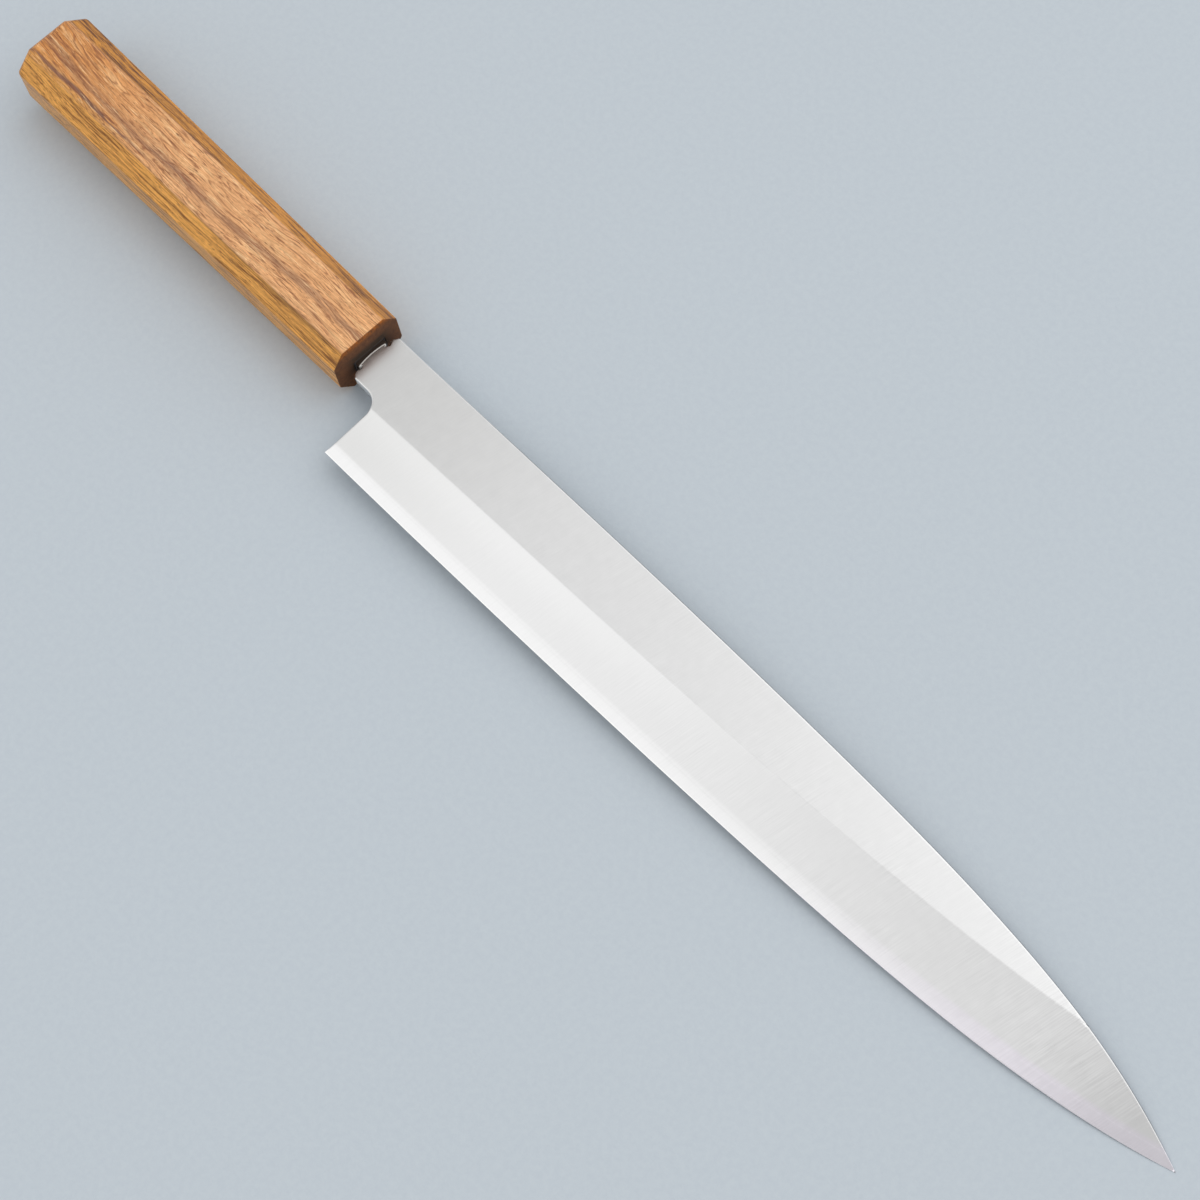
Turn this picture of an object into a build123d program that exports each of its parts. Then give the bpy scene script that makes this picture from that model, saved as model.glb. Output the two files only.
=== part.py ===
from build123d import *
import os

# A right-handed single-bevel slicing knife with a one-piece octagonal handle.
# All sizes are in millimetres. X runs towards the tip, Y towards the spine and Z up,
# on the side of the bevel. The origin is under the middle of the whole knife.

# Handle: an octagon at each end. Height is measured from the edge side to the spine side.
handle_length = 142
front_height = 22.8
front_thickness = 19.0
front_broad_flat = 14.9
front_narrow_flat = 9.8
butt_height = 26.0
butt_thickness = 21.6
butt_broad_flat = 13.8
butt_narrow_flat = 11.4
butt_dome_radius = 80
butt_rim_radius = 2.0
front_rim_chamfer = 0.4

# Blade: lengths run from the handle's front face, heights from the handle's axis.
blade_reach = 306.4
heel_reach = 12.7
neck_reach = 13.7
neck_under_axis = 8.0
choil_radius = 5.0
shoulder_reach = 1.9
shoulder_corner_radius = 2.0
spine_side_notch_radius = 0.7
edge_side_notch_radius = 0.4
spine_over_axis = 9.0
spine_rise = 3.6
spine_belly_drop = 8.0
edge_under_axis = 27.8
edge_sweep_rise = 8.0
tip_under_axis = 8.1
ridge_under_axis = 10.9
ridge_rise = 7.3
ridge_tip_rise = 14.0

# How late along the blade each rise and drop comes: powers of the share of the way from heel to tip.
spine_belly_power = 3
spine_tip_power = 8
edge_sweep_power = 1.64
edge_tip_power = 7
ridge_tip_power = 4.6

# Blade thickness, from the flat back up.
blade_thickness = 3.9
tip_thickness = 2.3
back_under_axis = 2.9
edge_land = 0.15

# Hard steel on the back, forged thinner towards the tip, and the hollow ground into it.
edge_steel_thickness = 0.9
edge_steel_tip_thickness = 0.6
edge_steel_start = 7.0
hollow_depth = 0.35
hollow_spine_rim = 3.0
hollow_edge_rim = 2.2
hollow_heel_rim = 5.0
hollow_tip_rim = 24.0
hollow_run_out = 14.0

# Tang, and the resin that beds it in the handle's slot.
tang_depth = 92
tang_offset = 0.4
tang_width = 10.4
tang_end_width = 6.0
tang_end_thickness = 2.4
bedding_side_gap = 0.7
bedding_face_gap = 0.6
bedding_end_gap = 4.0

# How far cuts run past what they cut, and how many sections carry each curved surface.
overrun = 6.0
outline_section_count = 12
bevel_section_count = 16
hollow_section_count = 9

# Where the pieces lie in the part's frame.
face_x = (handle_length - blade_reach) / 2
butt_x = face_x - handle_length
axis_y = (edge_under_axis - butt_height / 2) / 2
axis_z = butt_thickness / 2
back_z = axis_z - back_under_axis
tip_x = face_x + blade_reach
heel_x = face_x + heel_reach
shoulder_x = face_x + shoulder_reach
tang_end_x = face_x - tang_depth
tang_y = axis_y + tang_offset
slot_end_x = tang_end_x - bedding_end_gap


def share(x):
    """How far x lies on the way from the heel to the tip: 0 up to the heel, 1 at the tip."""
    return max((x - heel_x) / (tip_x - heel_x), 0)


def spine_y(x):
    tip_drop = spine_over_axis + spine_rise - spine_belly_drop + tip_under_axis
    over_axis = spine_over_axis + spine_rise * share(x)
    over_axis -= spine_belly_drop * share(x) ** spine_belly_power
    over_axis -= tip_drop * share(x) ** spine_tip_power
    return axis_y + over_axis


def edge_y(x):
    tip_rise = edge_under_axis - tip_under_axis - edge_sweep_rise
    under_axis = edge_under_axis - edge_sweep_rise * share(x) ** edge_sweep_power
    under_axis -= tip_rise * share(x) ** edge_tip_power
    return axis_y - under_axis


def ridge_y(x):
    """The ridge between the upper flat and the bevel. Near the tip it runs out over the spine."""
    under_axis = ridge_under_axis - ridge_rise * share(x)
    under_axis -= ridge_tip_rise * share(x) ** ridge_tip_power
    return axis_y - under_axis


def top_z(x):
    """The upper flat, which sinks evenly from the handle to the tip."""
    sinking = (blade_thickness - tip_thickness) * (x - face_x) / blade_reach
    return back_z + blade_thickness - sinking


def weld_z(x):
    """The weld between the two steels, which sinks evenly from the handle to the tip."""
    sinking = (edge_steel_thickness - edge_steel_tip_thickness) * (x - face_x) / blade_reach
    return back_z + edge_steel_thickness - sinking


def spread(start, end, count):
    """Evenly spaced places from start to end."""
    return [start + (end - start) * i / (count - 1) for i in range(count)]


def across(x, y=0, z=0):
    """The plane square to the knife at x: its own X is the knife's Y, and its own Y is the knife's Z."""
    return Plane(origin=(x, y, z), x_dir=(0, 1, 0), z_dir=(1, 0, 0))


# The blade, both steels together, from its shoulders to its tip.
neck_x = face_x + neck_reach
neck_y = axis_y - neck_under_axis
choil_x = neck_x - choil_radius
corner_x = shoulder_x + shoulder_corner_radius
upper_corner_y = spine_y(corner_x) - shoulder_corner_radius
lower_corner_y = neck_y + shoulder_corner_radius

with BuildPart() as blade:
    with BuildSketch(Plane.XY.offset(back_z)):
        with BuildLine():
            Spline(*[(x, spine_y(x)) for x in spread(corner_x, tip_x, outline_section_count)])
            Spline(*[(x, edge_y(x)) for x in spread(heel_x, tip_x, outline_section_count)])
            Line((heel_x, edge_y(heel_x)), (neck_x, neck_y - choil_radius))
            CenterArc((choil_x, neck_y - choil_radius), choil_radius, 0, 90)
            Line((choil_x, neck_y), (corner_x, neck_y))
            CenterArc((corner_x, lower_corner_y), shoulder_corner_radius, 180, 90)
            Line((shoulder_x, lower_corner_y), (shoulder_x, upper_corner_y))
            CenterArc((corner_x, upper_corner_y), shoulder_corner_radius, 90, 90)
        make_face()
        # The tang's root, between the shoulders and the handle, is as thick as the blade.
        with Locations((face_x, tang_y)):
            Rectangle(
                shoulder_reach + shoulder_corner_radius,
                tang_width,
                align=(Align.MIN, Align.CENTER),
            )
    extrude(amount=blade_thickness)

    # The upper flat: everything above its sinking plane goes.
    with BuildSketch(Plane.XZ.offset(-axis_y - spine_over_axis - spine_rise - overrun)):
        with BuildLine():
            Polyline(
                (face_x, top_z(face_x)),
                (tip_x + overrun, top_z(tip_x + overrun)),
                (tip_x + overrun, top_z(face_x)),
                close=True,
            )
        make_face()
    extrude(amount=spine_over_axis + spine_rise + edge_under_axis + 2 * overrun, mode=Mode.SUBTRACT)

# What the grinder takes off for the bevel: the space above a surface from the ridge down to the edge.
with BuildPart() as bevel_waste:
    for x in spread(heel_x - overrun, tip_x + overrun, bevel_section_count):
        fall = (top_z(x) - back_z - edge_land) / (ridge_y(x) - edge_y(x))
        with BuildSketch(across(x)):
            with BuildLine():
                Polyline(
                    (edge_y(x) - overrun, back_z + edge_land - fall * overrun),
                    (ridge_y(x) + overrun, top_z(x) + fall * overrun),
                    (ridge_y(x) + overrun, top_z(x) + 2 * blade_thickness),
                    (edge_y(x) - overrun, top_z(x) + 2 * blade_thickness),
                    close=True,
                )
            make_face()
    loft()

# What the wheel takes off for the hollow in the back. It runs out gently at both ends.
hollow_start_x = neck_x + hollow_heel_rim
hollow_end_x = tip_x - hollow_tip_rim

with BuildPart() as hollow_waste:
    for x in spread(hollow_start_x, hollow_end_x, hollow_section_count):
        from_end = min(x - hollow_start_x, hollow_end_x - x)
        sunk = hollow_depth * max(1 - from_end / hollow_run_out, 0) ** 2
        left_y = edge_y(x) + hollow_edge_rim
        right_y = spine_y(x) - hollow_spine_rim
        with BuildSketch(across(x)):
            with BuildLine():
                ThreePointArc(
                    (left_y, back_z - sunk),
                    ((left_y + right_y) / 2, back_z - sunk + hollow_depth),
                    (right_y, back_z - sunk),
                )
                Polyline(
                    (right_y, back_z - sunk),
                    (right_y, back_z - overrun),
                    (left_y, back_z - overrun),
                    (left_y, back_z - sunk),
                )
            make_face()
    loft()

# The tang, from the handle's front face to its end in the handle.
with BuildPart() as tang:
    for x, width, thickness in (
        (face_x, tang_width, blade_thickness),
        (tang_end_x, tang_end_width, tang_end_thickness),
    ):
        with BuildSketch(across(x)):
            with Locations((tang_y, back_z)):
                Rectangle(width, thickness, align=(Align.CENTER, Align.MIN))
    loft()

with BuildPart() as forging:
    add(blade.part)
    add(bevel_waste.part, mode=Mode.SUBTRACT)
    add(hollow_waste.part, mode=Mode.SUBTRACT)
    add(tang.part)
    with BuildSketch(Plane.XY.offset(back_z)):
        with Locations((shoulder_x, tang_y + tang_width / 2)):
            Circle(spine_side_notch_radius)
        with Locations((shoulder_x, tang_y - tang_width / 2)):
            Circle(edge_side_notch_radius)
    extrude(amount=blade_thickness, mode=Mode.SUBTRACT)

# The space under the weld between the two steels. The hard steel starts behind the neck's shoulders.
with BuildPart() as weld_space:
    with BuildSketch(Plane.XZ.offset(-axis_y)):
        with BuildLine():
            Polyline(
                (face_x + edge_steel_start, back_z),
                (face_x + edge_steel_start, weld_z(face_x + edge_steel_start)),
                (tip_x + overrun, weld_z(tip_x + overrun)),
                (tip_x + overrun, back_z),
                close=True,
            )
        make_face()
    extrude(amount=edge_under_axis + overrun, both=True)

with BuildPart() as blade_cladding:
    add(forging.part)
    add(weld_space.part, mode=Mode.SUBTRACT)
blade_cladding.part.label = "blade_cladding"

with BuildPart() as edge_steel:
    add(forging.part)
    add(weld_space.part, mode=Mode.INTERSECT)
edge_steel.part.label = "edge_steel"

# The slot in the handle, and its filling.
with BuildPart() as slot:
    for x, width, thickness in (
        (face_x, tang_width, blade_thickness),
        (slot_end_x, tang_end_width, tang_end_thickness),
    ):
        with BuildSketch(across(x)):
            with Locations((tang_y, back_z - bedding_face_gap)):
                Rectangle(
                    width + 2 * bedding_side_gap,
                    thickness + 2 * bedding_face_gap,
                    align=(Align.CENTER, Align.MIN),
                )
    loft()

# The space inside the dome of the butt: a round bar with a domed end, wider than the handle.
dome_reach = butt_height / 2 + overrun
dome_sink = butt_dome_radius - (butt_dome_radius ** 2 - dome_reach ** 2) ** 0.5

with BuildPart() as butt_dome:
    with BuildSketch(Plane.XY.offset(axis_z)):
        with BuildLine():
            dome_arc = TangentArc(
                (butt_x, axis_y),
                (butt_x + dome_sink, axis_y + dome_reach),
                tangent=(0, 1),
            )
            Polyline(
                dome_arc @ 1,
                (face_x + overrun, axis_y + dome_reach),
                (face_x + overrun, axis_y),
                (butt_x, axis_y),
            )
        make_face()
    revolve(axis=Axis((butt_x, axis_y, axis_z), (1, 0, 0)))

# What is planed off the four corners of the handle's blank to leave an octagon.
with BuildPart() as corner_waste:
    for x, height, thickness, broad_flat, narrow_flat in (
        (face_x, front_height, front_thickness, front_broad_flat, front_narrow_flat),
        (butt_x, butt_height, butt_thickness, butt_broad_flat, butt_narrow_flat),
    ):
        facet_run = (height - broad_flat) / 2
        facet_fall = (thickness - narrow_flat) / 2
        with BuildSketch(across(x, axis_y, axis_z)):
            with BuildLine():
                Polyline(
                    (broad_flat / 2 - facet_run, thickness / 2 + facet_fall),
                    (height / 2 + facet_run, thickness / 2 + facet_fall),
                    (height / 2 + facet_run, narrow_flat / 2 - facet_fall),
                    close=True,
                )
            make_face()
    loft(ruled=True)
    mirror(about=Plane.XY.offset(axis_z))
    mirror(about=Plane.XZ.offset(-axis_y))

# The blank tapers in its height and in its thickness, so its four broad and narrow sides are flat.
with BuildPart() as handle:
    with BuildSketch(Plane.XY):
        with BuildLine():
            Polyline(
                (face_x, axis_y - front_height / 2),
                (face_x, axis_y + front_height / 2),
                (butt_x, axis_y + butt_height / 2),
                (butt_x, axis_y - butt_height / 2),
                close=True,
            )
        make_face()
    extrude(amount=butt_thickness)
    with BuildSketch(Plane.XZ.offset(-axis_y)):
        with BuildLine():
            Polyline(
                (face_x, axis_z - front_thickness / 2),
                (face_x, axis_z + front_thickness / 2),
                (butt_x, axis_z + butt_thickness / 2),
                (butt_x, axis_z - butt_thickness / 2),
                close=True,
            )
        make_face()
    extrude(amount=butt_height, both=True, mode=Mode.INTERSECT)
    add(corner_waste.part, mode=Mode.SUBTRACT)
    add(butt_dome.part, mode=Mode.INTERSECT)
    chamfer(handle.faces().sort_by(Axis.X)[-1].edges(), front_rim_chamfer)
    fillet(handle.faces().sort_by(Axis.X)[0].edges(), butt_rim_radius)
    add(slot.part, mode=Mode.SUBTRACT)
handle.part.label = "handle"

with BuildPart() as tang_bedding:
    add(slot.part)
    add(forging.part, mode=Mode.SUBTRACT)
tang_bedding.part.label = "tang_bedding"

os.makedirs("parts", exist_ok=True)
export_step(blade_cladding.part, "parts/blade_cladding.step")
export_step(edge_steel.part, "parts/edge_steel.step")
export_step(handle.part, "parts/handle.step")
export_step(tang_bedding.part, "parts/tang_bedding.step")
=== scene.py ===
# %% [markdown]
# A slicing knife in steel and lacquered oak
#
# This lesson dresses a long single-bevel slicing knife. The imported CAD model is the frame: it says
# where each piece is. The blade, the handle and the resin round the tang are modelled again here as
# fine meshes of the same size, because the look of a ground blade and of a sanded handle lies in
# small roundings and in slight curves that CAD leaves out.

# %% The frame
import math

import bmesh
import bpy
from mathutils import Matrix, Vector, kdtree
from mathutils.geometry import intersect_point_line


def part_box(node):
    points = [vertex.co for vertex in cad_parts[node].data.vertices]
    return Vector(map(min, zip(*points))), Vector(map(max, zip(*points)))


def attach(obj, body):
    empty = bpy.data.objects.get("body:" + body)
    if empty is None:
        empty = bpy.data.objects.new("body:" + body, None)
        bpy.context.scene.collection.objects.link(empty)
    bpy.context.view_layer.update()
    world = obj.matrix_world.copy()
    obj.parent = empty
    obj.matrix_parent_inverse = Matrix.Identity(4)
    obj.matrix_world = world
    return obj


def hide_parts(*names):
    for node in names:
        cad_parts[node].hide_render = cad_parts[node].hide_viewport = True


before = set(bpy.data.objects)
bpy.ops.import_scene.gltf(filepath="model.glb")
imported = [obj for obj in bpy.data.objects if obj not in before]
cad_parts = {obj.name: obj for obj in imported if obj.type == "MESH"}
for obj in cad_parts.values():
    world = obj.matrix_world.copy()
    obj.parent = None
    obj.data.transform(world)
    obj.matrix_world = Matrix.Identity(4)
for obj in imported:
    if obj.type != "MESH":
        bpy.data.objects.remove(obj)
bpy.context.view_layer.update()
print("The frame's nodes:", sorted(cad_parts))

# %% [markdown]
# Sizes
#
# The knife's shape follows a few sizes. They are in millimetres, because that is how a knife is
# measured, and one factor turns them into Blender's metres when a vertex is placed. Lengths run from
# the handle's front face, which the frame gives, and heights run from the handle's axis.

# %% Sizes
mm = 0.001

handle_low, handle_high = (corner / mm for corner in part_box("handle"))
steel_low, steel_high = (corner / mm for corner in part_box("edge_steel"))
bedding_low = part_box("tang_bedding")[0] / mm

butt_x, face_x = handle_low.x, handle_high.x
axis_y = (handle_low.y + handle_high.y) / 2
axis_z = (handle_low.z + handle_high.z) / 2
tip_x = steel_high.x

front_height, front_thickness = 22.8, 19.0
front_broad_flat, front_narrow_flat = 14.9, 9.8
butt_height, butt_thickness = 26.0, 21.6
butt_broad_flat, butt_narrow_flat = 13.8, 11.4

heel_x = face_x + 12.7
neck_x = face_x + 13.7
shoulder_x = face_x + 1.9
choil_radius = 5.0
shoulder_radius = 2.0
spine_notch_radius, edge_notch_radius = 0.7, 0.4
neck_y = axis_y - 8.0
back_z = axis_z - 2.9
print(f"The handle runs from {butt_x:.1f} to {face_x:.1f} mm, and the blade on to {tip_x:.1f} mm")

# %% [markdown]
# The blade's lines
#
# Three curves draw the blade from above: its spine, its edge and the ridge between the upper flat
# and the bevel. Each is a straight rise with powers of the way from heel to tip added, which bend it
# late, as a grinder does. Seen from the side, the upper flat sinks evenly towards the tip.

# %% The blade's lines
blade_reach = tip_x - face_x
spine_over_axis, spine_rise, spine_belly_drop = 9.0, 3.6, 8.0
edge_under_axis, edge_sweep_rise, tip_under_axis = 27.8, 8.0, 8.1
ridge_under_axis, ridge_rise, ridge_tip_rise = 10.9, 7.3, 14.0
blade_thickness, tip_thickness = 3.9, 2.3
weld_height, weld_tip_height = 0.9, 0.6
weld_start_x = steel_low.x


def share(x):
    """How far x lies on the way from the heel to the tip."""
    return max((x - heel_x) / (tip_x - heel_x), 0)


def spine_y(x):
    tip_drop = spine_over_axis + spine_rise - spine_belly_drop + tip_under_axis
    rise = spine_rise * share(x) - spine_belly_drop * share(x) ** 3 - tip_drop * share(x) ** 8
    return axis_y + spine_over_axis + rise


def edge_y(x):
    tip_rise = edge_under_axis - tip_under_axis - edge_sweep_rise
    rise = edge_sweep_rise * share(x) ** 1.64 + tip_rise * share(x) ** 7
    return axis_y - edge_under_axis + rise


def ridge_y(x):
    rise = ridge_rise * share(x) + ridge_tip_rise * share(x) ** 4.6
    return axis_y - ridge_under_axis + rise


def sinking(high, low, x):
    """A height that falls evenly from the handle's face to the tip, over the blade's back."""
    return back_z + high - (high - low) * (x - face_x) / blade_reach


def flat_z(x):
    return sinking(blade_thickness, tip_thickness, x)


def weld_z(x):
    return sinking(weld_height, weld_tip_height, x)


print(f"At its heel the blade is {spine_y(heel_x) - edge_y(heel_x):.1f} mm wide")

# %% [markdown]
# The plan of the blade
#
# Seen from above, the blade is laid out as two strips of a grid that share the ridge. Each strip is
# made by `create_grid`, which lays its vertices row by row, and then every vertex is moved to its
# place between a lower and an upper line. Rows crowd together near the strip's two sides, where
# the surface turns quickly, and spread out over the plain middle.

# %% The strips of the plan
rows = 36


def crowded(count):
    """Shares from 0 to 1 that crowd together at both ends."""
    return [(i / count) ** 2 * (3 - 2 * i / count) for i in range(count + 1)]


def lay_strip(plan, lower, upper):
    """A grid between two lines of (x, y) with as many points each."""
    columns = len(lower) - 1
    made = bmesh.ops.create_grid(plan, x_segments=columns, y_segments=rows, size=1)["verts"]
    place = crowded(rows)
    for number, vertex in enumerate(made):
        row, column = divmod(number, columns + 1)
        start, end = Vector(lower[column]), Vector(upper[column])
        point = start.lerp(end, place[row])
        vertex.co = (point.x, point.y, 0)
    return made


def arc(centre, radius, first, last, count):
    """Points on an arc, with its angles in degrees."""
    angles = [math.radians(first + (last - first) * i / count) for i in range(count + 1)]
    return [(centre[0] + radius * math.cos(a), centre[1] + radius * math.sin(a)) for a in angles]


print("The first rows lie at these shares:", [round(place, 3) for place in crowded(rows)[:4]])

# %% Where the ridge leaves the choil and where it meets the spine
choil_centre = (neck_x - choil_radius, neck_y - choil_radius)
ridge_start_x = neck_x
for _ in range(6):
    ridge_angle = math.degrees(math.asin((ridge_y(ridge_start_x) - choil_centre[1]) / choil_radius))
    ridge_start_x = choil_centre[0] + choil_radius * math.cos(math.radians(ridge_angle))

low, high = ridge_start_x, tip_x
while high - low > 1e-6:
    middle = (low + high) / 2
    if ridge_y(middle) < spine_y(middle):
        low = middle
    else:
        high = middle
ridge_end_x = low
print(f"The ridge runs from {ridge_start_x:.1f} to {ridge_end_x:.1f} mm")

# %% Columns along the blade
column_step, tip_column_step = 1.6, 1.0
rim_steps = [0.04, 0.1, 0.18, 0.28, 0.42, 0.65, 1.0, 1.5, 2.2, 3.1]


def evenly(start, end, step):
    """Places from just past the start up to the end, about a step apart."""
    count = math.ceil((end - start) / step)
    return [start + (end - start) * i / count for i in range(1, count + 1)]


ridge_places = [ridge_start_x + step for step in [0] + rim_steps]
ridge_places += evenly(ridge_places[-1], ridge_end_x, column_step)
tip_places = evenly(ridge_end_x, tip_x, tip_column_step)
print(len(ridge_places), "columns follow the ridge, and", len(tip_places), "more the tip")

# %% [markdown]
# The upper strip starts at the shoulders, with a round corner at each, runs along the neck, round
# the choil and then follows the ridge. The lower strip is the bevel. It starts at the heel, which
# leans back a little, so its first columns lean with it.

# %% The lines of the two strips
corner_x = shoulder_x + shoulder_radius
upper_corner = (corner_x, spine_y(corner_x) - shoulder_radius)
lower_corner = (corner_x, neck_y + shoulder_radius)
neck_places = evenly(corner_x, choil_centre[0], 1.0)[:-1]

lower_line = arc(lower_corner, shoulder_radius, 180, 270, 12)
upper_line = arc(upper_corner, shoulder_radius, 180, 90, 12)
lower_line += [(x, neck_y) for x in neck_places]
upper_line += [(x, spine_y(x)) for x in neck_places]
choil_points = arc(choil_centre, choil_radius, 90, ridge_angle, 14)
lower_line += choil_points[:-1]
upper_line += [(x, spine_y(x)) for x, _ in choil_points[:-1]]
lower_line += [(x, ridge_y(x)) for x in ridge_places]
upper_line += [(x, spine_y(x)) for x in ridge_places]

bevel_places = ridge_places + tip_places
lean_run = 14.0


def leaned(x):
    """The place on the edge that belongs to a place on the ridge: the heel's lean fades out."""
    fade = max(1 - (x - ridge_start_x) / lean_run, 0)
    return x - (ridge_start_x - heel_x) * fade * fade


edge_line = [(leaned(x), edge_y(leaned(x))) for x in bevel_places]
bevel_top = [(x, ridge_y(x)) for x in ridge_places] + [(x, spine_y(x)) for x in tip_places]
print("The upper strip has", len(lower_line), "columns, and the bevel", len(bevel_places))

# %% The two strips


def heel_outline_x(y):
    """The heel's line, and over it the rest of the choil's arc."""
    over_centre = y - choil_centre[1]
    if over_centre > 0:
        return choil_centre[0] + math.sqrt(choil_radius**2 - over_centre**2)
    return neck_x + (heel_x - neck_x) * over_centre / (edge_y(heel_x) - choil_centre[1])


plan = bmesh.new()
lay_strip(plan, lower_line, upper_line)
bevel_vertices = lay_strip(plan, edge_line, bevel_top)

heel_low, heel_high = Vector(edge_line[0]), Vector(bevel_top[0])
for vertex in bevel_vertices:
    x, y, _ = vertex.co
    across = min(max((y - heel_low.y) / (heel_high.y - heel_low.y), 0), 1)
    straight = heel_low.x + (heel_high.x - heel_low.x) * across
    fade = max(1 - (x - straight) / lean_run, 0)
    vertex.co.x += (heel_outline_x(min(y, heel_high.y)) - straight) * fade * fade

bmesh.ops.remove_doubles(plan, verts=plan.verts, dist=0.002)
bmesh.ops.dissolve_degenerate(plan, edges=plan.edges, dist=0.001)
print("The plan has", len(plan.faces), "faces")

# %% [markdown]
# The tang grows out of the shoulders between two small round notches, which keep the corners from
# cracking. The notches need a few more rows, which `bisect_plane` cuts, and the tang itself is the
# rim between them, extruded in steps that follow the notches' curves and then the tang's taper.

# %% The notches
tang_over_axis = 0.4
tang_y = axis_y + tang_over_axis
tang_width = 10.4
notch_run = 1.6
notch_angles = [math.radians(angle) for angle in (0, 30, 60, 90, 120, 150, 180)]
notches = ((-1, edge_notch_radius), (1, spine_notch_radius))


def bisect(mesh, faces, place, normal, **clear):
    """Cuts only the given faces of a mesh at a plane."""
    around = {item for face in faces for item in (face, *face.edges, *face.verts)}
    bmesh.ops.bisect_plane(
        mesh, geom=list(around), dist=1e-4, plane_co=place, plane_no=normal, **clear
    )


for side, notch_radius in notches:
    notch_y = tang_y + side * tang_width / 2
    for angle in notch_angles:
        near = [f for f in plan.faces if f.calc_center_median().x < shoulder_x + notch_run]
        bisect(plan, near, (0, notch_y + notch_radius * math.cos(angle), 0), (0, 1, 0))
    for vertex in plan.verts:
        reach = max(notch_radius**2 - (vertex.co.y - notch_y) ** 2, 0)
        fade = max(1 - (vertex.co.x - shoulder_x) / notch_run, 0)
        vertex.co.x += math.sqrt(reach) * fade
print("With its notches, the plan has", len(plan.faces), "faces")

# %% The tang
resin_past_tang = 4.0
tang_end_x = bedding_low.x + resin_past_tang
tang_end_width, tang_end_thickness = 6.0, 2.4


def tang_sides(x):
    """The tang's two sides at x: between its notches at first, and then tapering to its end."""
    deep = max((face_x - x) / (face_x - tang_end_x), 0)
    half = (tang_width + (tang_end_width - tang_width) * deep) / 2
    bites = [math.sqrt(max(r**2 - (shoulder_x - x) ** 2, 0)) for _, r in notches]
    return tang_y - half + bites[0], tang_y + half - bites[1]


low_y, high_y = tang_sides(shoulder_x)
root = [
    edge
    for edge in plan.edges
    if edge.is_boundary
    and all(
        abs(v.co.x - shoulder_x) < 0.01 and low_y - 0.01 < v.co.y < high_y + 0.01
        for v in edge.verts
    )
]
tang_places = [shoulder_x - run for run in (0.12, 0.24, 0.33, 0.38, 0.4, 0.5, 0.6, 0.67, 0.7, 1.2)]
for x in tang_places + [face_x, face_x - 1, tang_end_x]:
    made = bmesh.ops.extrude_edge_only(plan, edges=root)["geom"]
    moved = {item for item in made if isinstance(item, bmesh.types.BMVert)}
    root = [e for e in plan.edges if e.is_boundary and all(v in moved for v in e.verts)]
    next_low, next_high = tang_sides(x)
    for vertex in moved:
        across = (vertex.co.y - low_y) / (high_y - low_y)
        vertex.co.x, vertex.co.y = x, next_low + (next_high - next_low) * across
    low_y, high_y = next_low, next_high
print("With the tang, the plan has", len(plan.faces), "faces")

# %% [markdown]
# The blade's thickness
#
# The plan gets its heights from three plain rules. The top is the lower of the upper flat and the
# bevel, with the corner between them eased over about a sixth of a millimetre. It falls off in a
# small round at the rim, where a maker breaks the corners of the spine, the neck and the choil. The
# back is flat with a shallow hollow, so that only a rim round it touches the stone.

# %% The height of the top
ridge_ease = 0.17
edge_land = 0.12
convex_reach, convex_drop = 3.6, 0.12


def eased_min(a, b, ease):
    """The lower of two heights, with the corner between them rounded."""
    mix = min(max(0.5 + 0.5 * (b - a) / ease, 0), 1)
    return b + (a - b) * mix - ease * mix * (1 - mix)


def tang_height(x):
    deep = max((face_x - x) / (face_x - tang_end_x), 0)
    return flat_z(max(x, face_x)) + (tang_end_thickness - blade_thickness) * deep


def top_height(x, y):
    """The upper flat, or the bevel, which turns down a little more just before the edge."""
    if x < shoulder_x + notch_run:
        return tang_height(x)
    width = ridge_y(x) - edge_y(x)
    rise = flat_z(x) - back_z - edge_land - convex_drop
    from_edge = max(y - edge_y(x), 0)
    bevel = back_z + edge_land + convex_drop + rise * from_edge / width
    bevel -= convex_drop * max(1 - from_edge / convex_reach, 0) ** 2
    return eased_min(flat_z(x), bevel, 2 * ridge_ease * rise / width)


print(f"At its end the tang is {tang_height(tang_end_x) - back_z:.1f} mm thick")

# %% The height of the back
hollow_depth = 0.35
hollow_start_x, hollow_end_x = neck_x + 5.0, tip_x - 24.0
hollow_run_out = 14.0
hollow_spine_rim, hollow_edge_rim = 3.0, 2.2


def back_height(x, y):
    """The flat back with its hollow, which runs out gently towards the heel and the tip."""
    left, right = edge_y(x) + hollow_edge_rim, spine_y(x) - hollow_spine_rim
    from_end = min(x - hollow_start_x, hollow_end_x - x)
    if from_end <= 0:
        return back_z
    across = (y - (left + right) / 2) / ((right - left) / 2)
    sunk = hollow_depth * max(1 - from_end / hollow_run_out, 0) ** 2
    return back_z + max(hollow_depth * (1 - across * across) - sunk, 0)


print(f"The hollow is {hollow_end_x - hollow_start_x:.0f} mm long and {hollow_depth} mm deep")

# %% [markdown]
# A k-d tree over the rim's vertices finds the nearest stretch of rim quickly, and
# `intersect_point_line` gives the exact distance to it. The cutting edge keeps no rounding.

# %% The distance to the rim
for name in ("top", "back", "from_edge", "from_rim", "up_bevel", "hollow"):
    plan.verts.layers.float.new(name)
layers = plan.verts.layers.float
rim_vertices = [v for v in plan.verts if v.is_boundary]
rim_tree = kdtree.KDTree(len(rim_vertices))
for number, vertex in enumerate(rim_vertices):
    rim_tree.insert(vertex.co, number)
rim_tree.balance()


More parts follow.
